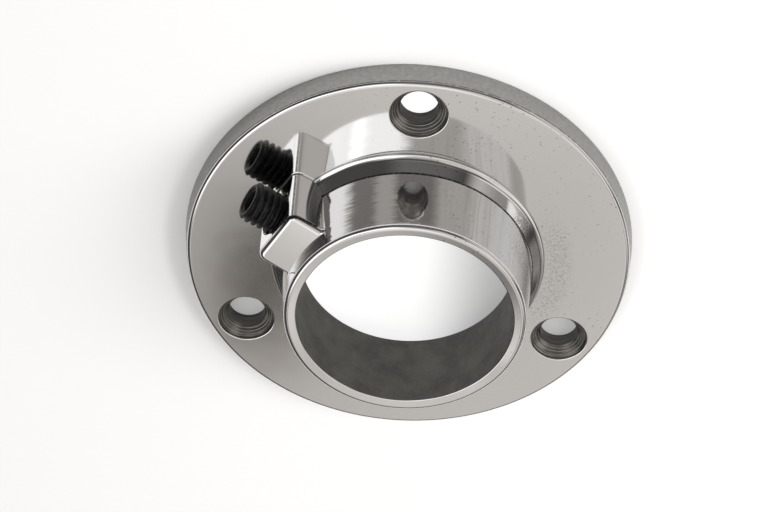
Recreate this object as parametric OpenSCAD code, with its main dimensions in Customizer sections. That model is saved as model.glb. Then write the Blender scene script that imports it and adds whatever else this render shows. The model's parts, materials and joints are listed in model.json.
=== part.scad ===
// Wardrobe rail bracket: a round wall flange with a short sleeve that takes the end of a rail,
// and a boss on the sleeve's side whose set screw clamps the rail. Sizes are in millimetres.
// The back of the flange lies on z = 0, the rail runs along +Z and the boss points along +X.

/* [Rail and sleeve] */
// Diameter of the rail
rail_d = 30; // [20:0.5:40]
// Room between the rail and the bore, on the diameter
rail_room = 0.5; // [0.2:0.1:1]
// Wall of the sleeve at its foot
sleeve_wall = 2.55; // [2:0.05:5]
// How far the outside of the sleeve leans in from its foot to its rim
sleeve_draft = 0.8; // [0:0.05:1]
// Height of the sleeve's rim above the back of the flange
sleeve_h = 17.2; // [15:0.2:40]
// Rounding of the rim's outer edge
rim_edge_r = 0.7; // [0.2:0.05:1.4]
// Rounding of the mouth of the bore
mouth_edge_r = 0.2; // [0.2:0.05:1]
// Height at which the bore starts to flare out towards the back
flare_h = 4.1; // [1:0.1:4.6]
// Angle of the flare from the rail's axis
flare_angle = 45; // [30:1:50]

/* [Flange] */
// Width of the flange from the hub's foot to its back edge
flange_w = 12.6; // [11.5:0.1:25]
// Thickness of the flange
flange_t = 3.9; // [3:0.1:6]
// How far the flange's edge leans in from back to front
flange_draft = 0.4; // [0:0.1:1]
// Rounding of the flange's front edge
flange_edge_r = 0.7; // [0.2:0.1:1]

/* [Hub] */
// Width of the cone between the flange's face and the sleeve
hub_w = 1.6; // [0.8:0.05:3]
// Height of the upright land at the foot of the cone
hub_land = 0.4; // [0.1:0.1:1]
// Height of the cone
hub_cone_h = 2.1; // [0.8:0.1:4]

/* [Screw holes] */
// Number of countersunk holes
hole_count = 3; // [2:1:4]
// Diameter of the hole for the shank of a wood screw
hole_d = 5.4; // [3:0.1:6]
// Diameter of the countersink at the flange's face
sink_d = 8; // [6.5:0.1:9]
// Depth of the straight lead-in above the countersink's cone
sink_lead = 0.45; // [0.1:0.05:1]
// Angle of the countersink, side to side
sink_angle = 90; // [80:1:110]
// Metal left between a countersink and the flange's front edge
hole_margin = 1.35; // [0.8:0.05:4]

/* [Boss] */
// Reach of the boss beyond the sleeve
boss_reach = 4.1; // [2:0.05:8]
// Metal left on each side of the tapped hole
boss_wall = 1.6; // [1:0.05:4]
// Drop from the sleeve's rim to the top of the boss
boss_drop = 3.4; // [1.4:0.1:3.8]
// Rounding of the boss's upright corners
boss_corner_r = 1.3; // [0.2:0.1:2]
// Rounding of the edges round the boss's top
boss_edge_r = 0.8; // [0.2:0.1:1]

/* [Set screw] */
// Diameter of the set screw over its thread
screw_d = 5.8; // [3:0.1:7]
// Length of the set screw
screw_len = 10; // [8:0.5:20]
// Gap between the set screw and the wall of its tapped hole
thread_gap = 0.15; // [0.1:0.05:0.3]
// How far the tip is drawn back from the bore's wall
tip_setback = 1.1; // [0.2:0.1:2]
// Bevel at both ends of the thread
screw_bevel = 0.5; // [0.2:0.1:0.8]
// Width of the hexagon socket across its flats
socket_af = 3; // [1.3:0.1:3.4]
// Depth of the hexagon socket
socket_depth = 3.5; // [1.5:0.1:5]
// Width of the bevelled lead-in round the socket's corners
socket_lead = 0.25; // [0.1:0.05:0.4]
// Diameter of the cup ground into the tip
cup_d = 3; // [1:0.1:3]
// Depth of the cup
cup_depth = 0.8; // [0.2:0.1:1.5]

/* [Hidden] */

$fn = 96;
// Straight steps in a rounded edge
arc_steps = 6;
// How far a cutting shape runs past the surface that it cuts
past = 1;
// Share of the rim that stays flat where its two roundings fill a thin wall
rim_flat = 0.02;

bore_r = (rail_d + rail_room) / 2;
flare_r = bore_r + flare_h * tan(flare_angle);
sleeve_r = bore_r + sleeve_wall;
hub_r = sleeve_r + hub_w;
hub_top = flange_t + hub_land + hub_cone_h;
rim_r = sleeve_r - sleeve_draft;
rim_share = min(1, (1 - rim_flat) * (rim_r - bore_r) / (rim_edge_r + mouth_edge_r));
rim_round = rim_edge_r * rim_share;
mouth_round = mouth_edge_r * rim_share;
sleeve_lean = atan2(sleeve_draft, sleeve_h - hub_top);
flange_back_r = hub_r + flange_w;
flange_front_r = flange_back_r - flange_draft;
edge_lean = atan2(flange_draft, flange_t);

hole_r = hole_d / 2;
sink_r = sink_d / 2;
sink_foot = flange_t - sink_lead - (sink_r - hole_r) / tan(sink_angle / 2);
hole_circle_r = flange_front_r - hole_margin - sink_r;
hole_step = 360 / hole_count;

screw_r = screw_d / 2;
tapped_r = screw_r + thread_gap;
boss_w = 2 * (tapped_r + boss_wall);
boss_end = sleeve_r + boss_reach;
boss_top = sleeve_h - boss_drop;
screw_z = (flange_t + boss_top) / 2;
tip_x = bore_r + tip_setback;
socket_corner_r = socket_af / 2 / cos(30);
cup_r = cup_d / 2;

// Points along an arc about a centre, from one angle to another
function arc(centre, r, from, to) = [
    for (i = [0 : arc_steps])
        let (a = from + (to - from) * i / arc_steps)
            centre + r * [cos(a), sin(a)]
];

// Outline of a bar along +X from the origin, with rounded corners at its far end
module tongue(length, width, r) {
    corner = [length - r, width / 2 - r];
    polygon(concat(
        [[0, -width / 2]],
        arc([corner.x, -corner.y], r, -90, 0),
        arc(corner, r, 0, 90),
        [[0, width / 2]]
    ));
}

// Flange, hub and sleeve as one turned form, before the bore is cut
module turned_form() {
    front_corner = [flange_front_r - flange_edge_r, flange_t - flange_edge_r];
    rim_corner = [rim_r - rim_round, sleeve_h - rim_round];
    rotate_extrude()
        polygon(concat(
            [[0, 0], [flange_back_r, 0]],
            arc(front_corner, flange_edge_r, edge_lean, 90),
            [
                [hub_r, flange_t],
                [hub_r, flange_t + hub_land],
                [sleeve_r, hub_top]
            ],
            arc(rim_corner, rim_round, sleeve_lean, 90),
            [[0, sleeve_h]]
        ));
}

// Boss beside the sleeve: three outlines, seen from above, from the side and from its end
module boss() {
    intersection() {
        linear_extrude(boss_top)
            tongue(boss_end, boss_w, boss_corner_r);
        rotate([90, 0, 0])
            linear_extrude(boss_w + past, center = true)
                tongue(boss_end, 2 * boss_top, boss_edge_r);
        rotate([0, -90, 0])
            translate([0, 0, -boss_end - past])
                linear_extrude(boss_end + past)
                    tongue(boss_top, boss_w, boss_edge_r);
    }
}

// Bore for the rail, with its rounded mouth and its flare at the back
module rail_bore() {
    flare_run = past * tan(flare_angle);
    mouth = [bore_r + mouth_round, sleeve_h - mouth_round];
    rotate_extrude()
        polygon(concat(
            [
                [0, -past],
                [flare_r + flare_run, -past],
                [bore_r, flare_h]
            ],
            arc(mouth, mouth_round, 180, 90),
            [
                [mouth.x, sleeve_h + past],
                [0, sleeve_h + past]
            ]
        ));
}

// One countersunk hole through the flange
module screw_hole() {
    rotate_extrude()
        polygon([
            [0, -past],
            [hole_r, -past],
            [hole_r, sink_foot],
            [sink_r, flange_t - sink_lead],
            [sink_r, flange_t + past],
            [0, flange_t + past]
        ]);
}

// The countersunk holes, with the boss midway between two of them
module screw_holes() {
    for (i = [0 : hole_count - 1])
        rotate([0, 0, hole_step * (i + 0.5)])
            translate([hole_circle_r, 0, 0])
                screw_hole();
}

// Hole for the set screw, from the bore out through the boss
module tapped_hole() {
    translate([0, 0, screw_z])
        rotate([0, 90, 0])
            cylinder(h = boss_end + past, r = tapped_r);
}

module bracket_body() {
    color("silver")
        difference() {
            union() {
                turned_form();
                boss();
            }
            rail_bore();
            screw_holes();
            tapped_hole();
        }
}

// Turned form of the set screw, standing on its cupped tip
module screw_blank() {
    rotate_extrude()
        polygon([
            [0, cup_depth],
            [cup_r, 0],
            [screw_r - screw_bevel, 0],
            [screw_r, screw_bevel],
            [screw_r, screw_len - screw_bevel],
            [screw_r - screw_bevel, screw_len],
            [0, screw_len]
        ]);
}

// Hexagon socket with its lead-in, sunk from the screw's outer end
module hex_socket() {
    translate([0, 0, -socket_depth])
        cylinder(h = socket_depth + past, r = socket_corner_r, $fn = 6);
    translate([0, 0, -socket_lead])
        cylinder(h = socket_lead + past,
                 r1 = socket_corner_r, r2 = socket_corner_r + socket_lead + past);
}

module set_screw() {
    color("dimgray")
        translate([tip_x, 0, screw_z])
            rotate([0, 90, 0])
                difference() {
                    screw_blank();
                    translate([0, 0, screw_len])
                        hex_socket();
                }
}

bracket_body();
set_screw();
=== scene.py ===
"""Wardrobe rail bracket: its polished body, its set screw and the studio that shows them.

Lengths are in metres. The bracket lies on the back of its flange, with the rail's axis along +Z
and the set screw's axis along +X.
"""

import json
import logging
import math
from dataclasses import dataclass
from enum import Enum
from typing import Any, Iterable, Sequence

import bpy
from mathutils import Matrix, Vector


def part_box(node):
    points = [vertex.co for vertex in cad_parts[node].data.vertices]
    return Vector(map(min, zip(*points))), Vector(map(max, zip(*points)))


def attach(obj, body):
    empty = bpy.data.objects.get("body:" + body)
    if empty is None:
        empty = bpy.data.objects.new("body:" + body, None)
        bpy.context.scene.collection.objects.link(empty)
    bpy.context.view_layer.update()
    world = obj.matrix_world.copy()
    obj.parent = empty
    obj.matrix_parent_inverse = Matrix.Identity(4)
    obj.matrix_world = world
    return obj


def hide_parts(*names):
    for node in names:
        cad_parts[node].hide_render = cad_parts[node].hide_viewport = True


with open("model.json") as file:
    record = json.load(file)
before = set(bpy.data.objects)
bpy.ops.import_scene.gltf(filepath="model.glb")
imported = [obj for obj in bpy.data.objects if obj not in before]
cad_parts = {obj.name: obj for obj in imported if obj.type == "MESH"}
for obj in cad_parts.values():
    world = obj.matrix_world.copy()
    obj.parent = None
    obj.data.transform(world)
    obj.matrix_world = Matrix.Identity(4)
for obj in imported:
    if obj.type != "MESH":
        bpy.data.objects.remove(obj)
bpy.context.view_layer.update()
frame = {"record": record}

MM = 0.001
GRAIN_R = 18.0 * MM
ARC_STEP_DEG = 9.0
LOG = logging.getLogger("rail_bracket")
NORMAL_ATTRIBUTE = "true_normal"
Colour = tuple[float, float, float]


class Zone(Enum):
    """Finishes of the body's surface, in the order of its material slots."""

    POLISHED = 0
    TURNED_EDGE = 1
    CAST_BORE = 2
    DRILLED = 3
    BACK = 4


class Wire:
    """An output socket of a node tree, for use in Python expressions."""

    def __init__(self, graph: "Graph", socket: bpy.types.NodeSocket) -> None:
        """Keeps the socket and the graph that new nodes are added to."""
        self.graph = graph
        self.socket = socket

    def __add__(self, other: "Operand") -> "Wire":
        """Sum of two values."""
        return self.graph.math("ADD", self, other)

    __radd__ = __add__

    def __sub__(self, other: "Operand") -> "Wire":
        """Difference of two values."""
        return self.graph.math("SUBTRACT", self, other)

    def __rsub__(self, other: "Operand") -> "Wire":
        """Difference with a plain number on the left."""
        return self.graph.math("SUBTRACT", other, self)

    def __mul__(self, other: "Operand") -> "Wire":
        """Product of two values."""
        return self.graph.math("MULTIPLY", self, other)

    __rmul__ = __mul__

    def __truediv__(self, other: "Operand") -> "Wire":
        """Quotient of two values."""
        return self.graph.math("DIVIDE", self, other)

    def __abs__(self) -> "Wire":
        """Size of the value without its sign."""
        return self.graph.math("ABSOLUTE", self)

    def least(self, other: "Operand") -> "Wire":
        """Smaller of two values."""
        return self.graph.math("MINIMUM", self, other)

    def most(self, other: "Operand") -> "Wire":
        """Larger of two values."""
        return self.graph.math("MAXIMUM", self, other)

    def rise(self, low: float, high: float) -> "Wire":
        """Smooth step from 0 to 1."""
        return self.graph.add(
            "ShaderNodeMapRange",
            {"interpolation_type": "SMOOTHSTEP"},
            {"Value": self, "From Min": low, "From Max": high},
        )


Operand = Wire | float


class Graph:
    """Adds nodes to one node tree, for shaders and for geometry."""

    def __init__(self, tree: bpy.types.NodeTree) -> None:
        """Keeps the tree."""
        self.tree = tree

    def add(
        self,
        kind: str,
        settings: dict[str, Any] | None = None,
        inputs: dict[str | int, Any] | None = None,
        output: str | int | None = None,
    ) -> Wire | None:
        """Adds one node.

        Args:
            kind: The node's type.
            settings: Its own properties, set first.
            inputs: Values or wires for its sockets, by name or number.
            output: The socket to return, by name or number, or None for the first.

        Returns:
            The chosen output, or None if the node has no outputs.
        """
        node = self.tree.nodes.new(kind)
        for name, value in (settings or {}).items():
            setattr(node, name, value)
        for key, value in (inputs or {}).items():
            self._feed(self._pick(node.inputs, key), value)
        if not node.outputs:
            return None
        return Wire(self, self._pick(node.outputs, output))

    def math(self, operation: str, *values: Operand) -> Wire:
        """Adds a Math node."""
        return self.add("ShaderNodeMath", {"operation": operation}, dict(enumerate(values)))

    def split(self, vector: Wire) -> tuple[Wire, Wire, Wire]:
        """Components of a vector."""
        node_x = self.add("ShaderNodeSeparateXYZ", None, {0: vector}, "X")
        node = node_x.socket.node
        return node_x, Wire(self, node.outputs["Y"]), Wire(self, node.outputs["Z"])

    def vector(self, operation: str, *values: Any, **named: Any) -> Wire:
        """Adds a Vector Math node."""
        inputs = {**dict(enumerate(values)), **named}
        return self.add("ShaderNodeVectorMath", {"operation": operation}, inputs)

    def blend(self, factor: Operand, first: Any, second: Any) -> Wire:
        """Mixes two colours."""
        return self.add(
            "ShaderNodeMix",
            {"data_type": "RGBA"},
            {"Factor_Float": factor, "A_Color": first, "B_Color": second},
            "Result_Color",
        )

    @staticmethod
    def _pick(sockets: Any, key: str | int | None) -> bpy.types.NodeSocket:
        """Finds a socket that is in use."""
        if isinstance(key, int):
            return sockets[key]
        used = [s for s in sockets if s.enabled]
        if key is None:
            return used[0]
        for socket in used:
            if socket.identifier == key:
                return socket
        return next(s for s in used if s.name == key)

    def _feed(self, socket: bpy.types.NodeSocket, value: Any) -> None:
        """Links a wire to a socket, or sets the socket's own value."""
        if isinstance(value, Wire):
            self.tree.links.new(value.socket, socket)
        elif isinstance(value, list) and value and isinstance(value[0], Wire):
            for wire in value:
                self.tree.links.new(wire.socket, socket)
        elif socket.type == "RGBA" and len(value) == 3:
            socket.default_value = (*value, 1.0)
        else:
            socket.default_value = value


class ShaderGraph(Graph):
    """Node tree of one material."""

    def __init__(self, name: str) -> None:
        """Makes an empty material."""
        self.material = bpy.data.materials.new(name)
        self.material.use_nodes = True
        self.material.node_tree.nodes.clear()
        super().__init__(self.material.node_tree)
        self.place = self.add("ShaderNodeTexCoord", None, None, "Object")

    def noise(self, size: float, detail: float = 2.0, place: Wire | None = None) -> Wire:
        """Cloudy noise."""
        return self.add(
            "ShaderNodeTexNoise",
            None,
            {"Vector": place or self.place, "Scale": 1.0 / size, "Detail": detail},
            "Fac",
        )

    def stretch(self, scale: Sequence[float]) -> Wire:
        """The piece's coordinates, scaled along each axis."""
        return self.add("ShaderNodeMapping", None, {"Vector": self.place, "Scale": scale})

    def polar(self) -> tuple[Wire, Wire, Wire]:
        """Coordinates round the rail's axis."""
        x, y, z = self.split(self.place)
        return self.math("ARCTAN2", y, x), self.math("SQRT", x * x + y * y), z

    def grain(self, along: float, across: float, height: float, detail: float = 2.0) -> Wire:
        """Noise that follows a turned surface, with sizes in metres. The one along it holds at GRAIN_R."""
        angle, radius, z = self.polar()
        place = self.add(
            "ShaderNodeCombineXYZ",
            None,
            {"X": angle * (GRAIN_R / along), "Y": radius / across, "Z": z / height},
        )
        return self.add("ShaderNodeTexNoise", None, {"Vector": place, "Scale": 1.0, "Detail": detail}, "Fac")

    def bump(self, height: Wire, depth: float, below: Wire | None = None) -> Wire:
        """Relief of the surface."""
        inputs: dict[str | int, Any] = {"Height": height, "Distance": depth, "Strength": 1.0}
        if below is not None:
            inputs["Normal"] = below
        return self.add("ShaderNodeBump", None, inputs)

    def metal(self, **sockets: Any) -> Wire:
        """A metal surface."""
        inputs = {name.replace("_", " "): value for name, value in sockets.items()}
        return self.add("ShaderNodeBsdfPrincipled", None, {"Metallic": 1.0, **inputs})

    def close(self, shader: Wire) -> bpy.types.Material:
        """Ends the tree."""
        self.add("ShaderNodeOutputMaterial", None, {"Surface": shader})
        return self.material


@dataclass(frozen=True)
class MirrorPolish:
    """Bright metal, polished by hand: streaks from the wheel, fine pits, painted shade in the creases and
    painted dark lines along some edges.
    """

    tone: Colour = (0.64, 0.637, 0.632)
    dull_tone: Colour = (0.36, 0.35, 0.335)
    pit_tone: Colour = (0.16, 0.152, 0.144)
    painted_shade_tone: Colour = (0.035, 0.033, 0.03)
    # painted shade: the dark colour painted into the creases and along the painted edge lines
    gloss: float = 0.055
    face_z: float = 3.9 * MM
    crease_z: float = 6.4 * MM
    rim_z: float = 16.4 * MM
    sleeve_r: float = 17.8 * MM
    hub_r: float = 19.4 * MM
    flange_r: float = 31.6 * MM
    boss_top: float = 13.8 * MM
    boss_corner: tuple[float, float] = (20.6 * MM, 3.35 * MM)
    worn_angle: float = math.radians(-152.0)
    pitted_angle: float = math.radians(-119.0)
    lined_angle: float = math.radians(-10.0)
    stained_angle: float = math.radians(-121.0)
    worn_r: float = 21.3 * MM

    def material(self) -> bpy.types.Material:
        """Builds the finish."""
        g = ShaderGraph("mirror_polish")
        angle, radius, z = g.polar()
        fine = g.noise(0.35 * MM, 3.0)
        cloud = g.noise(9.0 * MM, 3.0)
        strokes = g.grain(0.55 * MM, 30.0 * MM, 12.0 * MM, 3.0)
        lines = g.grain(2.6 * MM, 5.0 * MM, 0.22 * MM, 3.0)
        on_wall = self.wall(radius, z)
        lined = on_wall * self.facing(g, angle, self.lined_angle, 0.2, 0.9)
        pits = self.pits(g, fine, cloud) * self.facing(g, angle, self.pitted_angle, 0.1, 0.8)
        # painted shade in the creases, joined with the painted dark lines along the edges
        painted_shade = self.painted_shade(radius, z, fine).most(self.painted_edge_lines(g, radius, z))
        streaked = strokes.rise(0.45, 0.75) * (on_wall - lined) * 0.4
        dull = streaked.most(self.worn(g, angle, radius, z))
        tone = g.blend(dull + fine * 0.06, self.tone, self.dull_tone)
        pitted = g.blend(pits, tone, self.pit_tone)
        shader = g.metal(
            Base_Color=g.blend(painted_shade, pitted, self.painted_shade_tone),
            Roughness=self.gloss + 0.05 * cloud * fine + dull * 0.12 + painted_shade * 0.3,
            Normal=self.relief(g, pits, strokes * on_wall, (lines - 0.5) * lined),
        )
        return g.close(shader)

    @staticmethod
    def facing(g: ShaderGraph, angle: Wire, toward: float, low: float, high: float) -> Wire:
        """A sector round the axis."""
        return g.math("COSINE", angle - toward).rise(low, high)

    def wall(self, radius: Wire, z: Wire) -> Wire:
        """The sleeve's wall, without its rim and the boss."""
        below_rim = 1.0 - z.rise(self.rim_z - 0.6 * MM, self.rim_z)
        inside = 1.0 - radius.rise(self.sleeve_r + 0.05 * MM, self.sleeve_r + 0.3 * MM)
        return z.rise(self.crease_z, self.crease_z + 0.6 * MM) * below_rim * inside

    def worn(self, g: ShaderGraph, angle: Wire, radius: Wire, z: Wire) -> Wire:
        """A patch round the hub that the wheel missed, on the face and on the hub's cone.

        Args:
            g: The material's graph.
            angle: The angle round the axis.
            radius: The distance from the axis.
            z: The height.

        Returns:
            1 where the metal is dullest.
        """
        mottle = g.noise(0.32 * MM, 4.0)
        sector = self.facing(g, angle, self.worn_angle, 0.84, 0.99)
        ring = 1.0 - abs(radius - self.worn_r).rise(0.6 * MM, 3.0 * MM)
        on_face = 1.0 - z.rise(self.face_z + 0.05 * MM, self.face_z + 0.2 * MM)
        on_cone = z.rise(self.face_z + 0.5 * MM, self.face_z + 0.9 * MM) * (
            1.0 - radius.rise(self.hub_r, self.hub_r + 0.2 * MM)
        ) * radius.rise(self.sleeve_r, self.sleeve_r + 0.2 * MM)
        spot = self.facing(g, angle, self.stained_angle, 0.985, 0.998)
        return (mottle.rise(0.45, 0.60) * sector * ring * on_face * 0.6).most(
            mottle.rise(0.36, 0.52) * spot * on_cone
        )

    @staticmethod
    def pits(g: ShaderGraph, fine: Wire, cloud: Wire) -> Wire:
        """Fine dark pits, in patches."""
        cell = g.add(
            "ShaderNodeTexVoronoi", None, {"Vector": g.place, "Scale": 1.0 / (0.8 * MM)}, "Distance"
        )
        return (1.0 - cell.rise(0.06, 0.24)) * fine.rise(0.40, 0.52) * cloud.rise(0.38, 0.54) * 0.75

    def painted_shade(self, radius: Wire, z: Wire, fine: Wire) -> Wire:
        """Painted shade in the crease above the hub's cone and at the hub's foot."""
        above = (1.0 - abs(z - self.crease_z).rise(0.08 * MM, 0.22 * MM)) * (
            1.0 - abs(radius - self.sleeve_r).rise(0.15 * MM, 0.30 * MM)
        )
        near_foot = (1.0 - abs(z - self.face_z).rise(0.02 * MM, 0.16 * MM)) * (
            1.0 - abs(radius - self.hub_r).rise(0.03 * MM, 0.22 * MM)
        )
        return (above + near_foot * 0.35).least(1.0) * (0.6 + 0.4 * fine.rise(0.2, 0.55))

    def painted_edge_lines(self, g: ShaderGraph, radius: Wire, z: Wire) -> Wire:
        """Painted dark lines along the flange's front edge and along the boss's edges on one side, standing
        in for the dark reflections and shade that these edges show.

        Args:
            g: The material's graph.
            radius: The distance from the axis.
            z: The height.

        Returns:
            1 where a line is darkest.
        """
        x, y, _ = g.split(g.place)
        ragged = 0.7 + 0.3 * g.noise(0.5 * MM, 2.0).rise(0.35, 0.5)
        arris = (1.0 - abs(z - self.face_z + 0.58 * MM).rise(0.08 * MM, 0.20 * MM)) * radius.rise(
            self.flange_r - 0.6 * MM, self.flange_r - 0.4 * MM
        )
        above_face = z.rise(self.face_z + 0.3 * MM, self.face_z + 0.6 * MM)
        clear = radius.rise(self.sleeve_r + 0.2 * MM, self.sleeve_r + 0.5 * MM)
        on_boss = above_face * clear * (-1.0 * y).rise(1.0 * MM, 3.0 * MM)
        top_edge = 1.0 - abs(z - self.boss_top + 0.52 * MM).rise(0.14 * MM, 0.26 * MM)
        corner_x, corner_y = self.boss_corner
        upright = (1.0 - abs(x - corner_x + y + corner_y).rise(0.10 * MM, 0.24 * MM)) * x.rise(
            corner_x + 0.5 * MM, corner_x + 0.7 * MM
        )
        # painted dark reflection and shade lines, mixed with the painted crease shade in the base colour
        return (arris * 0.85).most(on_boss * top_edge.most(upright * 0.75)) * ragged

    @staticmethod
    def relief(g: ShaderGraph, pits: Wire, strokes: Wire, sweep: Wire) -> Wire:
        """Faint waves, the strokes of the wheel on the sleeve, and the pits."""
        normal = g.add("ShaderNodeNewGeometry", None, None, "Normal")
        side = g.vector("CROSS_PRODUCT", (0.0, 0.0, 1.0), normal)
        swept = g.vector("NORMALIZE", g.vector("ADD", normal, g.vector("SCALE", side, Scale=sweep * 0.16)))
        wave = g.bump(g.noise(6.0 * MM, 1.0), 0.006 * MM, swept)
        stroked = g.bump(strokes, 0.003 * MM, wave)
        return g.bump(1.0 - pits, 0.002 * MM, stroked)


@dataclass(frozen=True)
class TurnedEdge:
    """Satin edge of the flange, with fine lines left by the lathe."""

    tone: Colour = (0.26, 0.255, 0.243)
    light_tone: Colour = (0.35, 0.345, 0.33)

    def material(self) -> bpy.types.Material:
        """Builds the finish."""
        g = ShaderGraph("turned_edge")
        lines = g.grain(4.0 * MM, 1.0 * MM, 0.12 * MM)
        mottle = g.noise(0.6 * MM, 4.0)
        shader = g.metal(
            Base_Color=g.blend(mottle.rise(0.15, 0.85), self.tone, self.light_tone),
            Roughness=0.30 + 0.12 * mottle,
            Normal=g.bump(lines * 0.6 + mottle * 0.4, 0.006 * MM),
        )
        return g.close(shader)


@dataclass(frozen=True)
class CastBore:
    """Dull grey bore, left as it was cast and only lightly machined."""

    tone: Colour = (0.24, 0.238, 0.228)
    light_tone: Colour = (0.62, 0.613, 0.59)

    def material(self) -> bpy.types.Material:
        """Builds the finish."""
        g = ShaderGraph("cast_bore")
        stain = g.noise(3.2 * MM, 5.0).rise(0.3, 0.72)
        grain = g.noise(0.5 * MM, 3.0)
        lines = g.grain(6.0 * MM, 1.0 * MM, 0.25 * MM)
        shader = g.metal(
            Base_Color=g.blend(stain * 0.3 + grain * 0.5 + 0.1, self.tone, self.light_tone),
            Roughness=0.50 + 0.18 * grain,
            Normal=g.bump(grain * 0.7 + lines * 0.3, 0.02 * MM),
        )
        return g.close(shader)


@dataclass(frozen=True)
class DrilledSteel:
    """Wall of a drilled hole, with rings left by the tool and a lip that the polishing reached."""

    tone: Colour = (0.17, 0.165, 0.155)
    bright_tone: Colour = (0.34, 0.33, 0.31)
    lip_tone: Colour = (0.64, 0.63, 0.61)
    lip_z: float = 3.9 * MM

    def material(self) -> bpy.types.Material:
        """Builds the finish."""
        g = ShaderGraph("drilled_wall")
        _, _, z = g.split(g.place)
        lip = 1.0 - abs(z - self.lip_z).rise(0.17 * MM, 0.22 * MM)
        rings = g.noise(0.14 * MM, 2.0, g.stretch((0.03, 0.03, 1.0)))
        tone = g.blend(rings.rise(0.35, 0.65), self.tone, self.bright_tone)
        shader = g.metal(
            Base_Color=g.blend(lip, tone, self.lip_tone),
            Roughness=(0.24 + 0.10 * rings) * (1.0 - lip) + 0.08 * lip,
            Normal=g.bump(rings * (1.0 - lip), 0.005 * MM),
        )
        return g.close(shader)


@dataclass(frozen=True)
class FacedBack:
    """Back of the flange, faced on a lathe and left unpolished."""

    tone: Colour = (0.42, 0.41, 0.39)
    dull_tone: Colour = (0.30, 0.295, 0.28)

    def material(self) -> bpy.types.Material:
        """Builds the finish."""
        g = ShaderGraph("faced_back")
        stain = g.noise(6.0 * MM, 4.0)
        rings = g.grain(9.0 * MM, 0.22 * MM, 1.0 * MM)
        shader = g.metal(
            Base_Color=g.blend(stain, self.tone, self.dull_tone),
            Roughness=0.38 + 0.15 * stain,
            Normal=g.bump(rings, 0.015 * MM),
        )
        return g.close(shader)


@dataclass(frozen=True)
class BlackOxide:
    """Black oxide on steel, a little oily and rubbed along the crests of the thread."""

    tone: Colour = (0.008, 0.008, 0.008)
    rubbed_tone: Colour = (0.03, 0.03, 0.029)

    def material(self) -> bpy.types.Material:
        """Builds the finish."""
        g = ShaderGraph("black_oxide")
        rub = g.noise(0.8 * MM, 3.0)
        grain = g.noise(0.12 * MM, 2.0)
        shader = g.metal(
            Metallic=0.2,
            Specular_IOR_Level=0.25,
            Base_Color=g.blend(rub.rise(0.4, 0.8), self.tone, self.rubbed_tone),
            Roughness=0.42 + 0.16 * grain,
            Normal=g.bump(grain, 0.006 * MM),
        )
        return g.close(shader)


@dataclass(frozen=True)
class Corner:
    """One corner of a profile, with its rounding, and the finish of the line that follows it."""

    r: float
    z: float
    rounding: float
    zone: Zone
    round_zone: Zone | None = None


@dataclass(frozen=True)
class Rib:
    """A run of profile points with their outward normals and one finish."""

    points: list[Vector]
    normals: list[Vector]
    zone: Zone


def turned(vector: Vector, angle: float) -> Vector:
    """A flat vector turned about the origin."""
    return Matrix.Rotation(angle, 2) @ vector


def round_corner(before: Vector, corner: Vector, after: Vector, rounding: float) -> tuple[list, list]:
    """Points and outward normals of a rounded corner, with the metal on the path's left.

    Args:
        before: The corner before.
        corner: The corner itself.
        after: The corner after.
        rounding: The radius.

    Returns:
        The points and the normals.
    """
    way_in = (corner - before).normalized()
    way_out = (after - corner).normalized()
    turn = math.atan2(way_in.x * way_out.y - way_in.y * way_out.x, way_in.dot(way_out))
    side = math.copysign(1.0, turn)
    start = corner - way_in * rounding * abs(math.tan(turn / 2))
    normal = Vector((way_in.y, -way_in.x))
    centre = start - normal * rounding * side
    steps = max(2, round(abs(math.degrees(turn)) / ARC_STEP_DEG))
    normals = [turned(normal, turn * i / steps) for i in range(steps + 1)]
    points = [centre + n * rounding * side for n in normals]
    return points, normals


def trace(corners: Sequence[Corner], closed: bool) -> list[Rib]:
    """Turns corners into runs of points: a rounded corner and a straight line, by turns.

    Args:
        corners: The corners, with the metal on the path's left.
        closed: True for a ring. An open path keeps its first and last corners sharp.

    Returns:
        The runs, in order.
    """
    places = [Vector((c.r, c.z)) for c in corners]
    count = len(corners)
    arcs = []
    for i, corner in enumerate(corners):
        if not closed and i in (0, count - 1):
            arcs.append(([places[i]], []))
        else:
            arcs.append(round_corner(places[i - 1], places[i], places[(i + 1) % count], corner.rounding))
    ribs = []
    for i in range(count if closed else count - 1):
        points, normals = arcs[i]
        if normals:
            ribs.append(Rib(points, normals, corners[i].round_zone or corners[i].zone))
        start, end = points[-1], arcs[(i + 1) % count][0][0]
        way = (end - start).normalized()
        flat = Vector((way.y, -way.x))
        ribs.append(Rib([start, end], [flat, flat], corners[i].zone))
    return ribs


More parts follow.
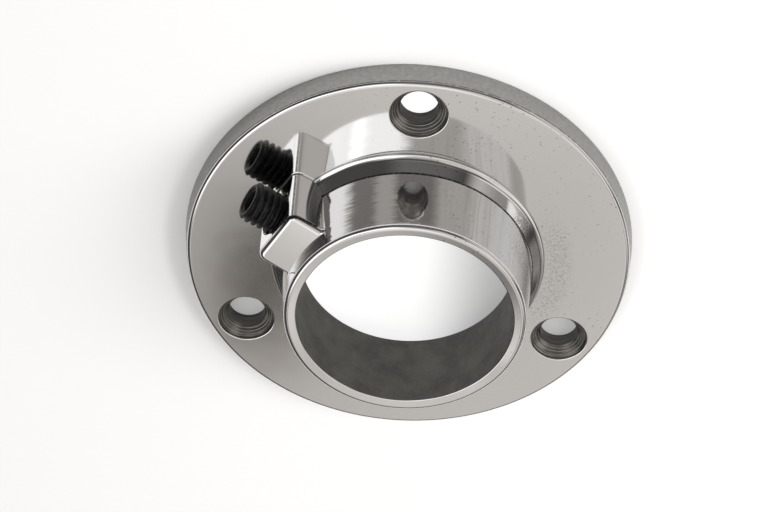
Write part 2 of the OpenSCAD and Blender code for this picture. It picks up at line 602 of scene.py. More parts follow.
class Shell:
    """Faces of a closed form, with a true normal at each face's corner and a finish."""

    def __init__(self, inward: bool = False) -> None:
        """Starts an empty shell."""
        self.vertices: list[Vector] = []
        self.faces: list[tuple[int, ...]] = []
        self.normals: list[Vector] = []
        self.zones: list[int] = []
        self.sign = -1.0 if inward else 1.0

    def face(self, corners: Iterable[int], normals: Iterable[Vector], zone: Zone) -> None:
        """Adds a face."""
        self.faces.append(tuple(corners))
        self.normals.extend(normal * self.sign for normal in normals)
        self.zones.append(zone.value)

    def revolve(self, ribs: Sequence[Rib], segments: int, place: Matrix, closed: bool) -> "Shell":
        """Turns a profile about an axis.

        Args:
            ribs: The profile's runs, in order.
            segments: How many steps the turn has.
            place: Where the axis, +Z, lies.
            closed: True for a ring, False for a form with a flat cap at each end.

        Returns:
            This shell.
        """
        turn = place.to_3x3()
        spin = [math.tau * j / segments for j in range(segments)]

        def ring(point: Vector) -> int:
            """Adds one ring of vertices and returns the first one's number."""
            first = len(self.vertices)
            for a in spin:
                self.vertices.append(place @ Vector((point.x * math.cos(a), point.x * math.sin(a), point.y)))
            return first

        def outward(normal: Vector, j: int) -> Vector:
            """A profile's normal at one step of the turn."""
            a = spin[j % segments]
            return turn @ Vector((normal.x * math.cos(a), normal.x * math.sin(a), normal.y))

        start = last = ring(ribs[0].points[0])
        for number, rib in enumerate(ribs):
            for k in range(len(rib.points) - 1):
                done = closed and number == len(ribs) - 1 and k == len(rib.points) - 2
                new = start if done else ring(rib.points[k + 1])
                for j in range(segments):
                    n = (j + 1) % segments
                    self.face(
                        (last + j, last + n, new + n, new + j),
                        (outward(rib.normals[k], j), outward(rib.normals[k], n),
                         outward(rib.normals[k + 1], n), outward(rib.normals[k + 1], j)),
                        rib.zone,
                    )
                last = new
        if not closed:
            low, high = turn @ Vector((0, 0, -1)), turn @ Vector((0, 0, 1))
            self.face(range(start + segments - 1, start - 1, -1), [low] * segments, ribs[0].zone)
            self.face(range(last, last + segments), [high] * segments, ribs[-1].zone)
        return self

    def to_object(self, name: str, materials: Sequence[bpy.types.Material]) -> bpy.types.Object:
        """Makes a mesh object of the faces."""
        mesh = bpy.data.meshes.new(name)
        mesh.from_pydata(self.vertices, [], self.faces)
        for material in materials:
            mesh.materials.append(material)
        mesh.polygons.foreach_set("material_index", self.zones)
        store = mesh.attributes.new(NORMAL_ATTRIBUTE, "FLOAT_VECTOR", "CORNER")
        store.data.foreach_set("vector", [c for normal in self.normals for c in normal])
        mesh.update()
        return link(name, mesh)


def link(name: str, mesh: bpy.types.Mesh) -> bpy.types.Object:
    """Makes an object of a mesh and links it to the scene."""
    thing = bpy.data.objects.new(name, mesh)
    bpy.context.scene.collection.objects.link(thing)
    return thing


def plain_mesh(thing: bpy.types.Object) -> bpy.types.Mesh:
    """Applies an object's modifiers."""
    graph = bpy.context.evaluated_depsgraph_get()
    graph.update()
    return bpy.data.meshes.new_from_object(thing.evaluated_get(graph))


def drop(*things: bpy.types.Object) -> None:
    """Removes helper objects."""
    for thing in things:
        bpy.data.objects.remove(thing)


class GeometryGraph(Graph):
    """Geometry Nodes tree with named inputs, which ends in realized instances with a material."""

    SOCKETS = {
        float: "NodeSocketFloat",
        int: "NodeSocketInt",
        bpy.types.Object: "NodeSocketObject",
        bpy.types.Material: "NodeSocketMaterial",
    }

    def __init__(self, name: str, values: dict[str, Any]) -> None:
        """Makes a tree with one input for each value."""
        super().__init__(bpy.data.node_groups.new(name, "GeometryNodeTree"))
        self.values = values
        face = self.tree.interface
        face.new_socket("Geometry", in_out="OUTPUT", socket_type="NodeSocketGeometry")
        for label, value in values.items():
            face.new_socket(label, in_out="INPUT", socket_type=self.SOCKETS[type(value)])
        entry = self.tree.nodes.new("NodeGroupInput")
        self.inputs = {label: Wire(self, entry.outputs[label]) for label in values}

    def raised(self, geometry: Wire, height: float) -> Wire:
        """Geometry moved along +Z."""
        return self.add(
            "GeometryNodeTransform", None, {"Geometry": geometry, "Translation": (0, 0, height)}
        )

    def mesh(self, name: str, geometry: Wire) -> bpy.types.Mesh:
        """Ends the tree and runs it.

        Args:
            name: The name of the mesh.
            geometry: The geometry before its instances are realized.

        Returns:
            The plain mesh.
        """
        solid = self.add("GeometryNodeRealizeInstances", None, {"Geometry": geometry})
        dressed = self.add(
            "GeometryNodeSetMaterial", None, {"Geometry": solid, "Material": self.inputs["Material"]}
        )
        self.add("NodeGroupOutput", None, {"Geometry": dressed})
        carrier = link(name, bpy.data.meshes.new(name))
        modifier = carrier.modifiers.new(name, "NODES")
        modifier.node_group = self.tree
        for item in self.tree.interface.items_tree:
            if item.in_out == "INPUT":
                modifier[item.identifier] = self.values[item.name]
        result = plain_mesh(carrier)
        drop(carrier)
        return result


@dataclass(frozen=True)
class BossForm:
    """Boss beside the sleeve, lofted from outlines with rounded edges and a fillet at its foot."""

    end: float
    width: float
    top: float
    foot: float
    sleeve_r: float
    sleeve_foot: float
    sleeve_slope: float
    edge_r: float = 0.8 * MM
    corner_r: float = 1.3 * MM
    foot_fillet: float = 0.3 * MM
    sleeve_fillet: float = 0.5 * MM
    sunk: float = 0.6 * MM
    sunk_spread: float = 7.0
    foot_turn: float = math.radians(82.0)
    least_r: float = 0.05 * MM
    end_lean: float = math.radians(9.0)
    far_lean: float = math.radians(2.5)
    near_lean: float = math.radians(7.0)
    end_share: float = 0.6
    side_share: float = 0.3
    cap_rings: int = 4
    cap_step: float = 0.8 * MM
    steps: int = 8

    def outline(self, height: float, grow: float) -> list[tuple[Vector, Vector]]:
        """Outline seen from above, with concave fillets where it meets the sleeve.

        Args:
            height: How high the outline lies.
            grow: How far the sides and the end are moved outwards.

        Returns:
            Points and outward normals from one side to the other.
        """
        half = self.width / 2 + grow
        end = self.end + grow
        corner_r = max(self.corner_r + grow, self.least_r)
        fillet = self.sleeve_fillet
        sleeve_r = self.sleeve_r - self.sleeve_slope * max(0.0, height - self.sleeve_foot)
        x = math.sqrt((sleeve_r + fillet) ** 2 - (half + fillet) ** 2)
        centre = Vector((x, half + fillet))
        lean = math.atan2(centre.y, centre.x)
        side = []
        for i in range(self.steps + 1):
            a = lean + (math.pi / 2 - lean) * i / self.steps
            normal = Vector((math.cos(a), math.sin(a)))
            side.append((centre - normal * fillet, normal))
        corner = Vector((end - corner_r, half - corner_r))
        for i in range(self.steps + 1):
            a = math.pi / 2 * (1 - i / self.steps)
            normal = Vector((math.cos(a), math.sin(a)))
            side.append((corner + normal * corner_r, normal))
        root, normal = side[0]
        side.insert(0, (root - root.normalized() * self.sunk, normal))
        mirrored = [(Vector((p.x, -p.y)), Vector((n.x, -n.y))) for p, n in side]
        return mirrored + side[::-1]

    def levels(self) -> list[tuple[float, float, float]]:
        """Heights of the outlines.

        Returns:
            For each outline its height, how far it is grown, and the normal's angle above level.
        """
        rows = []
        for i in range(self.steps + 1):
            a = self.foot_turn * (1 - i / self.steps)
            grow = self.foot_fillet * (1 - math.cos(a))
            rows.append((self.foot + self.foot_fillet * (1 - math.sin(a)), grow, a))
        sunk_grow = rows[0][1] + self.sunk / math.tan(self.foot_turn) * self.sunk_spread
        rows.insert(0, (self.foot - self.sunk, sunk_grow, rows[0][2]))
        for i in range(self.steps + 1):
            a = math.pi / 2 * i / self.steps
            rows.append(
                (self.top - self.edge_r * (1 - math.sin(a)), -self.edge_r * (1 - math.cos(a)), a)
            )
        for i in range(1, self.cap_rings + 1):
            rows.append((self.top, -self.edge_r - self.cap_step * i, math.pi / 2))
        return rows

    def crowned(self, point: Vector, height: float, normal: Vector) -> tuple[Vector, Vector]:
        """Leans the top to its end and to one side, where the wheel has ground it off to a soft crown."""
        share = max(0.0, normal.z) if height > self.top - self.edge_r else 0.0
        half = self.width / 2 - self.edge_r
        run = min(1.0, max(0.0, (half - point.y) / (2 * half)))
        least, gain = math.tan(self.far_lean), math.tan(self.near_lean) - math.tan(self.far_lean)
        side_drop = 2 * half * run * (least + gain * run / 2) * self.side_share
        end_slope = math.tan(self.end_lean)
        root_rise = (self.end - self.edge_r - point.x) * end_slope * self.end_share
        tilted = normal + Vector((end_slope, -least - gain * run, 0)) * share
        return Vector((point.x, point.y, height + (root_rise - side_drop) * share)), tilted.normalized()

    def shell(self) -> Shell:
        """Lofts the boss.

        Returns:
            The closed shell.
        """
        shell = Shell()
        rows = []
        for height, grow, lean in self.levels():
            first = len(shell.vertices)
            normals = []
            for p, n in self.outline(height, grow):
                upright = Vector((n.x * math.cos(lean), n.y * math.cos(lean), math.sin(lean)))
                place, normal = self.crowned(p, height, upright)
                shell.vertices.append(place)
                normals.append(normal)
            rows.append((first, normals))
        count = len(rows[0][1])
        for (low, low_n), (high, high_n) in zip(rows, rows[1:]):
            for j in range(count):
                n = (j + 1) % count
                shell.face(
                    (low + j, low + n, high + n, high + j),
                    (low_n[j], low_n[n], high_n[n], high_n[j]),
                    Zone.POLISHED,
                )
        bottom, top = rows[0][0], rows[-1][0]
        shell.face(range(bottom + count - 1, bottom - 1, -1), [Vector((0, 0, -1))] * count, Zone.POLISHED)
        shell.face(range(top, top + count), rows[-1][1], Zone.POLISHED)
        return shell


@dataclass
class BracketBody:
    """Flange, hub, sleeve and boss, which are one casting."""

    bore_r: float
    flange_r: float
    sleeve_h: float
    hole_circle_r: float
    hole_r: float
    hole_count: int
    screw_z: float
    flange_t: float = 3.9 * MM
    flange_draft: float = 0.4 * MM
    flange_edge_r: float = 0.7 * MM
    sleeve_wall: float = 2.55 * MM
    sleeve_draft: float = 0.8 * MM
    hub_w: float = 1.6 * MM
    hub_land: float = 0.4 * MM
    hub_lip: float = 0.3 * MM
    hub_edge_r: float = 0.1 * MM
    hub_cone_h: float = 2.1 * MM
    cove_w: float = 0.5 * MM
    cove_h: float = 0.26 * MM
    cove_r: float = 1.5 * MM
    crease_r: float = 0.15 * MM
    rim_edge_r: float = 0.7 * MM
    mouth_edge_r: float = 0.2 * MM
    rim_dish: float = 0.28 * MM
    flare_h: float = 4.1 * MM
    flare_edge_r: float = 0.15 * MM
    throat_r: float = 0.2 * MM
    back_edge_r: float = 0.12 * MM
    sink_r: float = 4.0 * MM
    sink_lead: float = 0.45 * MM
    sink_rings: int = 4
    ring_depth: float = 0.024 * MM
    ring_r: float = 0.04 * MM
    sink_foot_r: float = 0.08 * MM
    sink_top_r: float = 0.06 * MM
    lip_r: float = 0.2 * MM
    lip_rise: float = math.radians(15.0)
    boss_reach: float = 4.1 * MM
    boss_drop: float = 3.4 * MM
    boss_wall: float = 1.6 * MM
    tapped_r: float = 3.05 * MM
    segments: int = 360
    hole_segments: int = 96

    @property
    def sleeve_r(self) -> float:
        """Radius of the sleeve at its foot."""
        return self.bore_r + self.sleeve_wall

    @property
    def hub_top(self) -> float:
        """Height at which the sleeve rises from the hub's cone."""
        return self.flange_t + self.hub_land + self.hub_cone_h

    def profile(self) -> list[Rib]:
        """Section of the turned body.

        Returns:
            The runs of its profile.
        """
        hub_r = self.sleeve_r + self.hub_w
        face = self.flange_t
        lip_z = face + self.hub_lip
        flare_r = self.bore_r + self.flare_h
        rim_r = self.sleeve_r - self.sleeve_draft
        polished, bore = Zone.POLISHED, Zone.CAST_BORE
        corners = [
            Corner(flare_r, 0.0, self.flare_edge_r, Zone.BACK),
            Corner(self.flange_r, 0.0, self.back_edge_r, Zone.TURNED_EDGE),
            Corner(self.flange_r - self.flange_draft, face, self.flange_edge_r, polished),
            Corner(hub_r, face, self.hub_edge_r, polished),
            Corner(hub_r, lip_z, self.hub_edge_r, polished),
            Corner(hub_r - self.cove_w, lip_z + self.cove_h, self.cove_r, polished),
            Corner(self.sleeve_r, self.hub_top, self.crease_r, polished),
            Corner(rim_r, self.sleeve_h, self.rim_edge_r, polished),
            Corner(self.bore_r, self.sleeve_h - self.rim_dish, self.mouth_edge_r, bore, polished),
            Corner(self.bore_r, self.flare_h, self.throat_r, bore),
        ]
        return trace(corners, closed=True)

    def hole_profile(self) -> list[Rib]:
        """Section of one countersunk hole, with the rings that the tool left on its cone.

        Returns:
            The runs of its profile, from the back to the face.
        """
        past = 0.5 * MM
        face = self.flange_t
        cone_top = face - self.sink_lead
        cone_foot = cone_top - (self.sink_r - self.hole_r)
        drilled = Zone.DRILLED
        corners = [
            Corner(self.hole_r, -past, 0.0, drilled),
            Corner(self.hole_r, cone_foot, self.sink_foot_r, drilled),
        ]
        for i in range(1, self.sink_rings):
            share = i / self.sink_rings
            step = Vector((self.hole_r, cone_foot)).lerp(Vector((self.sink_r, cone_top)), share)
            for depth in (-self.ring_depth, self.ring_depth):
                corners.append(Corner(step.x + depth, step.y + self.ring_depth, self.ring_r, drilled))
        lip_drop = self.lip_r * (1 - math.tan(math.pi / 4 - self.lip_rise / 2))
        corners += [
            Corner(self.sink_r, cone_top, self.sink_top_r, drilled),
            Corner(self.sink_r, face - lip_drop, self.lip_r, drilled),
            Corner(self.sink_r + past, face - lip_drop + past * math.tan(self.lip_rise), 0.05 * MM, drilled),
            Corner(self.sink_r + past, face + past, 0.0, drilled),
        ]
        return trace(corners, closed=False)

    def drill_pattern(self, materials: Sequence[bpy.types.Material]) -> bpy.types.Object:
        """Cutting forms of the screw holes, set round the flange with the boss midway between two.

        Args:
            materials: The body's materials.

        Returns:
            One object with all the forms.
        """
        drill = Shell(inward=True).revolve(self.hole_profile(), self.hole_segments, Matrix(), closed=False)
        tool = drill.to_object("drill", materials)
        g = GeometryGraph(
            "screw_hole_circle",
            {
                "Hole": tool,
                "Holes": self.hole_count,
                "Circle radius": self.hole_circle_r,
                "First angle": math.pi / self.hole_count,
                "Material": materials[Zone.DRILLED.value],
            },
        )
        circle = g.add(
            "GeometryNodeMeshCircle",
            None,
            {"Vertices": g.inputs["Holes"], "Radius": g.inputs["Circle radius"]},
        )
        turn = g.add("ShaderNodeCombineXYZ", None, {"Z": g.inputs["First angle"]})
        placed = g.add("GeometryNodeTransform", None, {"Geometry": circle, "Rotation": turn})
        form = g.add("GeometryNodeObjectInfo", None, {"Object": g.inputs["Hole"]}, "Geometry")
        holes = g.add("GeometryNodeInstanceOnPoints", None, {"Points": placed, "Instance": form})
        pattern = link("drill_pattern", g.mesh("drill_pattern", holes))
        drop(tool)
        return pattern

    def tapped_hole(self, materials: Sequence[bpy.types.Material]) -> bpy.types.Object:
        """Cutting form of the hole for the set screw.

        Args:
            materials: The body's materials.

        Returns:
            The form.
        """
        mouth = self.sleeve_r + self.boss_reach
        bevel = 0.25 * MM
        past = 0.4 * MM
        corners = [
            Corner(self.tapped_r, self.bore_r / 2, 0.0, Zone.DRILLED),
            Corner(self.tapped_r, mouth - bevel, 0.05 * MM, Zone.DRILLED),
            Corner(self.tapped_r + bevel + past, mouth + past, 0.0, Zone.DRILLED),
        ]
        place = Matrix.Translation((0, 0, self.screw_z)) @ Matrix.Rotation(math.pi / 2, 4, "Y")
        ribs = trace(corners, closed=False)
        shell = Shell(inward=True).revolve(ribs, self.hole_segments, place, closed=False)
        return shell.to_object("tap", materials)

    def build(self, materials: Sequence[bpy.types.Material]) -> bpy.types.Object:
        """Joins the forms and cuts the holes.

        Args:
            materials: The materials, in the order of the finishes.

        Returns:
            The finished piece.
        """
        boss_form = BossForm(
            end=self.sleeve_r + self.boss_reach,
            width=2 * (self.tapped_r + self.boss_wall),
            top=self.sleeve_h - self.boss_drop,
            foot=self.flange_t,
            sleeve_r=self.sleeve_r,
            sleeve_foot=self.hub_top,
            sleeve_slope=self.sleeve_draft / (self.sleeve_h - self.hub_top),
        )
        blank = Shell().revolve(self.profile(), self.segments, Matrix(), closed=True)
        body = blank.to_object("body_blank", materials)
        boss = boss_form.shell().to_object("boss", materials)
        drills = self.drill_pattern(materials)
        tap = self.tapped_hole(materials)
        for tool, operation in ((boss, "UNION"), (drills, "DIFFERENCE"), (tap, "DIFFERENCE")):
            modifier = body.modifiers.new(tool.name, "BOOLEAN")
            modifier.solver = "EXACT"
            modifier.operation = operation
            modifier.material_mode = "TRANSFER"
            modifier.object = tool
        mesh = plain_mesh(body)
        drop(body, boss, drills, tap)
        self.set_normals(mesh)
        return link("polished_body", mesh)

    @staticmethod
    def set_normals(mesh: bpy.types.Mesh) -> None:
        """Gives the mesh the true normals of its surfaces, so that reflections run smoothly."""
        store = mesh.attributes[NORMAL_ATTRIBUTE]
        flat = [0.0] * (3 * len(mesh.loops))
        store.data.foreach_get("vector", flat)
        normals = [Vector(flat[i:i + 3]).normalized() for i in range(0, len(flat), 3)]
        mesh.attributes.remove(store)
        mesh.shade_smooth()
        mesh.normals_split_custom_set(normals)


@dataclass
class SetScrew:
    """Socket set screw with its thread, bevelled ends and cupped tip."""

    tip_x: float
    length: float
    radius: float
    axis_z: float
    pitch: float = 1.0 * MM
    thread_depth: float = 0.55 * MM
    end_bevel: float = 0.5 * MM
    socket_af: float = 3.0 * MM
    socket_depth: float = 3.5 * MM
    socket_lead: float = 0.35 * MM
    cup_r: float = 1.5 * MM
    cup_depth: float = 0.8 * MM
    sides: int = 96
    rings: int = 240
    cone_sides: int = 48
    sharp_angle: float = math.radians(32.0)

    def build(self, material: bpy.types.Material) -> bpy.types.Object:
        """Builds the screw.

        Args:
            material: Its finish.

        Returns:
            The finished piece.
        """
        g = GeometryGraph(
            "threaded_rod",
            {
                "Length": self.length,
                "Radius": self.radius,
                "Pitch": self.pitch,
                "Thread depth": self.thread_depth,
                "End bevel": self.end_bevel,
                "Material": material,
            },
        )
        rod = self.threaded_rod(g)
        cut = g.add(
            "GeometryNodeMeshBoolean",
            {"operation": "DIFFERENCE", "solver": "EXACT"},
            {"Mesh 1": rod, "Mesh 2": self.end_cuts(g)},
            "Mesh",
        )
        lying = g.add(
            "GeometryNodeTransform",
            None,
            {
                "Geometry": cut,
                "Translation": (self.tip_x + self.length / 2, 0, self.axis_z),
                "Rotation": (0, math.pi / 2, 0),
            },
        )
        mesh = g.mesh("threaded_set_screw", lying)
        mesh.shade_smooth()
        mesh.set_sharp_from_angle(angle=self.sharp_angle)
        return link("threaded_set_screw", mesh)

    def threaded_rod(self, g: GeometryGraph) -> Wire:
        """Rod with a thread that runs out in the bevels of its ends.

        Args:
            g: The tree, with the screw's sizes as inputs.

        Returns:
            The rod, standing on the origin's level with its middle at the origin.
        """
        length, radius, pitch = g.inputs["Length"], g.inputs["Radius"], g.inputs["Pitch"]
        rod = g.add(
            "GeometryNodeMeshCylinder",
            {"fill_type": "NGON"},
            {"Vertices": self.sides, "Side Segments": self.rings, "Radius": radius, "Depth": length},
            "Mesh",
        )
        x, y, z = g.split(g.add("GeometryNodeInputPosition"))
        angle = g.math("ARCTAN2", y, x)
        phase = g.math("FRACT", z / pitch - angle / math.tau)
        ridge = (1.0 - abs(phase * 2.0 - 1.0)).rise(0.1, 0.85)
        thread_r = radius - g.inputs["Thread depth"] * (1.0 - ridge)
        to_end = length / 2.0 - abs(z)
        limit = radius - g.inputs["End bevel"] + to_end
        here = thread_r.least(limit)
        place = g.add(
            "ShaderNodeCombineXYZ",
            None,
            {"X": here * g.math("COSINE", angle), "Y": here * g.math("SINE", angle), "Z": z},
        )
        return g.add("GeometryNodeSetPosition", None, {"Geometry": rod, "Position": place})

    def end_cuts(self, g: GeometryGraph) -> list[Wire]:
        """Cutting forms of the hexagon socket, its lead-in and the cup in the tip.

        Args:
            g: The tree.

        Returns:
            The forms.
        """
        corner_r = self.socket_af / 2 / math.cos(math.pi / 6)
        past = 0.5 * MM
        top = self.length / 2
        hexagon = g.add(
            "GeometryNodeMeshCylinder",
            {"fill_type": "NGON"},
            {"Vertices": 6, "Radius": corner_r, "Depth": self.socket_depth + past},
            "Mesh",
        )
        lead_h = self.socket_lead + past
        lead = self.cone(g, corner_r, corner_r + lead_h, lead_h)
        cup = self.cone(g, self.cup_r + past * self.cup_r / self.cup_depth, 0.0, self.cup_depth + past)
        socket = g.raised(hexagon, top - (self.socket_depth - past) / 2)
        lead_in = g.raised(lead, top - self.socket_lead)
        tip = g.raised(cup, -top - past)
        return [socket, lead_in, tip]

    def cone(self, g: GeometryGraph, low_r: float, high_r: float, depth: float) -> Wire:
        """A cutting cone that stands on the origin."""
        sizes = {"Vertices": self.cone_sides, "Radius Top": high_r, "Radius Bottom": low_r, "Depth": depth}
        return g.add("GeometryNodeMeshCone", {"fill_type": "NGON"}, sizes, "Mesh")


@dataclass(frozen=True)
class Viewpoint:
    """Where the camera stands, and how it is held."""

    azimuth: float = 31.1
    elevation: float = 50.06
    roll: float = 182.92
    distance: float = 0.5005
    lens: float = 163.5
    sensor: float = 36.0
    aim_right: float = 3.53 * MM
    aim_up: float = 1.97 * MM

    def axes(self) -> tuple[Vector, Vector, Vector]:
        """Directions of the picture."""
        az, el, roll = (math.radians(v) for v in (self.azimuth, self.elevation, self.roll))
        back = Vector((math.sin(az) * math.cos(el), -math.cos(az) * math.cos(el), math.sin(el)))
        level = Vector((math.cos(az), math.sin(az), 0.0))
        above = back.cross(level)
        right = level * math.cos(roll) + above * math.sin(roll)
        return right, back.cross(right), back

    def build(self) -> bpy.types.Object:
        """Makes the camera.

        Returns:
            The camera, set as the scene's own.
        """
        right, up, back = self.axes()
        place = back * self.distance
        aim = -right * self.aim_right - up * self.aim_up
        away = (place - aim).normalized()
        side = up.cross(away).normalized()
        turn = Matrix((side, away.cross(side), away)).transposed()
        data = bpy.data.cameras.new("camera")
        data.lens = self.lens
        data.sensor_width = self.sensor
        data.clip_start = 0.01
        camera = bpy.data.objects.new("camera", data)
        camera.matrix_world = Matrix.Translation(place) @ turn.to_4x4()
        bpy.context.scene.collection.objects.link(camera)
        bpy.context.scene.camera = camera
        return camera


@dataclass(frozen=True)
class Panel:
    """A soft light panel far away, or a dark flag, as the polished metal mirrors it."""

    bearing: float
    elevation: float
    half_width: float
    half_height: float
    soft: float
    level: float


class Studio:
    """Pale floor and soft light round the bracket. Bearings run from the camera's side to the right."""

    FLOOR_TONE: Colour = (0.80, 0.80, 0.795)
    # painted shade: the floor under the bracket is painted darker
    FLOOR_PAINTED_SHADE_TONE: Colour = (0.30, 0.30, 0.296)
    FLOOR_SIZE = 0.18
    FLOOR_DROP = 0.02 * MM
    FLOOR_GLOW = 0.02
    # painted light: camera-only glow of the floor in the bore and the holes, with a painted shadow across
    # the bore
    BORE_GLOW = 0.85
    BORE_R = 19.6 * MM
    BORE_PAINTED_SHADOW = 0.65
    BORE_PAINTED_SHADOW_R = 14.0 * MM
    HOLE_GLOW = 0.23
    HOLE_GAIN = 0.6
    HOLE_NEAR = (15.0 * MM, 25.0 * MM)
    COVER_R = 32.0 * MM
    DIM = 0.085
    BELOW = 0.10
    DOME = 0.83
    DOME_FOOT = 0.483
    HORIZON = 0.03
    TINT: Colour = (1.0, 0.957, 0.92)
    WHITE: Colour = (1.0, 1.0, 1.0)
    WHITE_LEVELS = (0.8, 1.4)
    WARM: Colour = (1.0, 0.886, 0.78)
    KEY_POWER = 3.0
    KEY_SIZE = 0.42
    KEY_DISTANCE = 0.6
    KEY_BEARING = 80.0
    KEY_ELEVATION = 38.0
    PANELS = (
        Panel(-97.0, 52.0, 0.55, 0.216, 0.103, 1.40),
        Panel(-38.0, 60.0, 0.267, 0.14, 0.079, 1.35),
        Panel(99.0, 39.6, 0.60, 0.17, 0.146, 0.88),
        Panel(43.7, 43.4, 0.273, 0.157, 0.084, 0.44),
        Panel(170.0, 37.0, 0.23, 0.26, 0.137, 0.55),
        Panel(72.0, 11.0, 0.50, 0.14, 0.17, 1.15),
        Panel(10.0, 15.0, 0.43, 0.09, 0.20, 0.26),
        Panel(-22.0, 41.5, 0.11, 0.09, 0.06, 0.38),
        Panel(132.0, 17.0, 0.36, 0.19, 0.11, 0.34),
        Panel(0.0, 89.5, 0.22, 0.33, 0.19, 0.42),
        Panel(-176.0, 48.0, 0.12, 0.082, 0.032, -0.18),
        Panel(-157.0, 47.0, 0.09, 0.12, 0.05, 0.40),
        Panel(-176.0, 57.0, 0.14, 0.09, 0.04, 0.13),
        Panel(88.0, 59.0, 0.30, 0.10, 0.08, 0.36),
    )
    FLAG = Panel(183.45, 49.3, 0.014, 0.020, 0.014, 1.0)
    FLAG_DEPTH = 0.61
    LEAST = 0.02
    PANEL_FRONT = 0.05

    def __init__(self, view: Viewpoint) -> None:
        """Takes the studio's directions from the view."""
        right, _, back = view.axes()
        self.up = Vector((0, 0, 1))
        self.near = Vector((back.x, back.y, 0)).normalized()
        self.right = self.near.cross(self.up)
        if self.right.dot(right) < 0:
            self.right = -self.right

    def build(self) -> None:
        """Makes the floor and the light."""
        self.floor()
        self.light()
        self.key()

    def toward(self, bearing: float, elevation: float) -> Vector:
        """A direction in the studio."""
        turn, rise = math.radians(bearing), math.radians(elevation)
        level = self.near * math.cos(turn) + self.right * math.sin(turn)
        return level * math.cos(rise) + self.up * math.sin(rise)

    def key(self) -> None:
        """Sets a soft lamp on the right, which only lays the shadow on the floor."""
        data = bpy.data.lights.new("key", "AREA")
        data.shape = "DISK"
        data.size = self.KEY_SIZE
        data.energy = self.KEY_POWER
        lamp = bpy.data.objects.new("key", data)
        way = self.toward(self.KEY_BEARING, self.KEY_ELEVATION)
        turn = way.to_track_quat("Z", "Y").to_matrix().to_4x4()
        lamp.matrix_world = Matrix.Translation(way * self.KEY_DISTANCE) @ turn
        lamp.visible_camera = False
        lamp.visible_glossy = False
        bpy.context.scene.collection.objects.link(lamp)

    def floor(self) -> None:
        """Lays a pale floor that shows white to the camera and keeps the bracket's shadow. Under the bracket
        the paper is painted darker as painted shade, and a painted glow that only the camera sees lights it
        again through the bore and the screw holes.
        """
        half = self.FLOOR_SIZE / 2
        mesh = bpy.data.meshes.new("floor")
        low = -self.FLOOR_DROP
        mesh.from_pydata(
            [(-half, -half, low), (half, -half, low), (half, half, low), (-half, half, low)],
            [],
            [(0, 1, 2, 3)],
        )
        g = ShaderGraph("floor_paper")
        paper = g.noise(1.5 * MM, 2.0)
        _, radius, _ = g.polar()
        # painted shade: the disc of floor under the bracket, which also carries the painted glow
        painted_under = 1.0 - radius.rise(self.COVER_R - 1.0 * MM, self.COVER_R)
        diffuse = g.add(
            "ShaderNodeBsdfDiffuse",
            None,
            {
                "Color": g.blend(painted_under, self.FLOOR_TONE, self.FLOOR_PAINTED_SHADE_TONE),
                "Normal": g.bump(paper, 0.001 * MM),
            },
        )
        seen = g.add("ShaderNodeLightPath", None, None, "Is Camera Ray")
        mirrored = g.add("ShaderNodeLightPath", None, None, "Is Glossy Ray")
        strength = seen.most(mirrored) * self.FLOOR_GLOW + seen * painted_under * self.painted_glow(g, radius)
        glow = g.add("ShaderNodeEmission", None, {"Strength": strength})
        mesh.materials.append(g.close(g.add("ShaderNodeAddShader", None, {0: diffuse, 1: glow})))
        link("floor", mesh)

    def painted_glow(self, g: ShaderGraph, radius: Wire) -> Wire:
        """Painted light: a glow that only the camera sees on the floor under the bracket, through the bore
        and the screw holes, dimmed towards the right in the bore as a painted shadow and growing towards the
        near side in the holes.
        """
        across = self.along(g, g.place, self.right)
        near = self.along(g, g.place, self.near)
        in_bore = 1.0 - radius.rise(self.BORE_R - 0.4 * MM, self.BORE_R)
        # painted shadow: dims the glow towards the right inside the bore
        painted_shadow = 1.0 - self.BORE_PAINTED_SHADOW * across.rise(0.0, self.BORE_PAINTED_SHADOW_R)
        in_holes = self.HOLE_GLOW + self.HOLE_GAIN * near.rise(*self.HOLE_NEAR)
        return in_bore * painted_shadow * self.BORE_GLOW + (1.0 - in_bore) * in_holes

    def light(self) -> None:
        """Lights the world with a dim dome and soft panels, and shows white to the camera."""
        world = bpy.data.worlds.new("studio")
        bpy.context.scene.world = world
        world.use_nodes = True
        world.node_tree.nodes.clear()
        g = Graph(world.node_tree)
        way = g.add("ShaderNodeTexCoord", None, None, "Generated")
        height = self.along(g, way, self.up)
        under = 1.0 - height.rise(-self.HORIZON, 0.0)
        level = self.DIM + height.rise(self.DOME_FOOT, 1.0) * self.DOME + under * self.BELOW
        for panel in self.PANELS:
            level = level + self.panel(g, way, panel)
        shade = self.panel(g, way, self.FLAG)
        level = (level - shade * self.FLAG_DEPTH).most(self.LEAST)
        tint = g.blend(shade, self.TINT, self.WARM)
        tint = g.blend(level.rise(*self.WHITE_LEVELS), tint, self.WHITE)
        studio = g.add("ShaderNodeBackground", None, {"Strength": level, "Color": tint})
        white = g.add("ShaderNodeBackground", None, {"Strength": 1.0, "Color": self.WHITE})
        seen = g.add("ShaderNodeLightPath", None, None, "Is Camera Ray")
        mixed = g.add("ShaderNodeMixShader", None, {0: seen, 1: studio, 2: white})
        g.add("ShaderNodeOutputWorld", None, {"Surface": mixed})

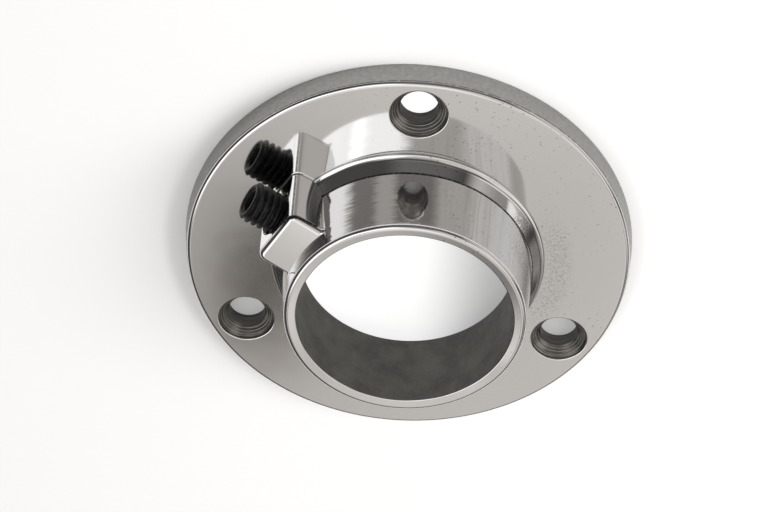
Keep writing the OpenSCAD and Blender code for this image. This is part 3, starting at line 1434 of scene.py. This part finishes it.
    def panel(self, g: Graph, way: Wire, panel: Panel) -> Wire:
        """Light of one panel in a direction."""
        centre = self.toward(panel.bearing, panel.elevation)
        side = self.up.cross(centre).normalized()
        top = centre.cross(side)
        ahead = self.along(g, way, centre)
        across = abs(self.along(g, way, side) / ahead)
        upright = abs(self.along(g, way, top) / ahead)
        inside = 1.0 - across.rise(panel.half_width - panel.soft, panel.half_width + panel.soft)
        within = 1.0 - upright.rise(panel.half_height - panel.soft, panel.half_height + panel.soft)
        return inside * within * ahead.rise(0.0, self.PANEL_FRONT) * panel.level

    @staticmethod
    def along(g: Graph, way: Wire, axis: Vector) -> Wire:
        """How far a direction runs along an axis."""
        return g.vector("DOT_PRODUCT", way, tuple(axis))


def mount(name: str) -> dict[str, Any]:
    """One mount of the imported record."""
    return next(m for m in frame["record"]["mounts"] if m["name"] == name)


def build_bracket() -> dict[str, bpy.types.Object]:
    """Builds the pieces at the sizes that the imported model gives.

    Returns:
        The pieces by the name of the node that each stands for.
    """
    bore, holes = mount("rail_bore")["dims"], mount("wall_screws")["dims"]
    _, body_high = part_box("bracket_body")
    screw_low, screw_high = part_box("set_screw")
    axis_z = (screw_low.z + screw_high.z) / 2
    finishes = (MirrorPolish(), TurnedEdge(), CastBore(), DrilledSteel(), FacedBack())
    body = BracketBody(
        bore_r=bore["r_mm"] * MM,
        flange_r=body_high.x,
        sleeve_h=body_high.z,
        hole_circle_r=holes["pcd_mm"] * MM / 2,
        hole_r=holes["hole_r_mm"] * MM,
        hole_count=holes["count"],
        screw_z=axis_z,
    )
    screw = SetScrew(
        tip_x=screw_low.x,
        length=screw_high.x - screw_low.x,
        radius=(screw_high.z - screw_low.z) / 2,
        axis_z=axis_z,
    )
    return {
        "bracket_body": body.build([finish.material() for finish in finishes]),
        "set_screw": screw.build(BlackOxide().material()),
    }


def main() -> None:
    """Builds the bracket and its studio, and hands the pieces to the frame."""
    logging.basicConfig(level=logging.INFO, format="%(name)s: %(message)s")
    bodies = {"bracket_body": "bracket", "set_screw": "clamp_screw"}
    for node, piece in build_bracket().items():
        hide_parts(node)
        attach(piece, bodies[node])
        LOG.info("%s stands for %s, %d faces", piece.name, node, len(piece.data.polygons))
    view = Viewpoint()
    view.build()
    Studio(view).build()
    bpy.context.scene.view_settings.view_transform = "Standard"


if __name__ == "__main__":
    main()
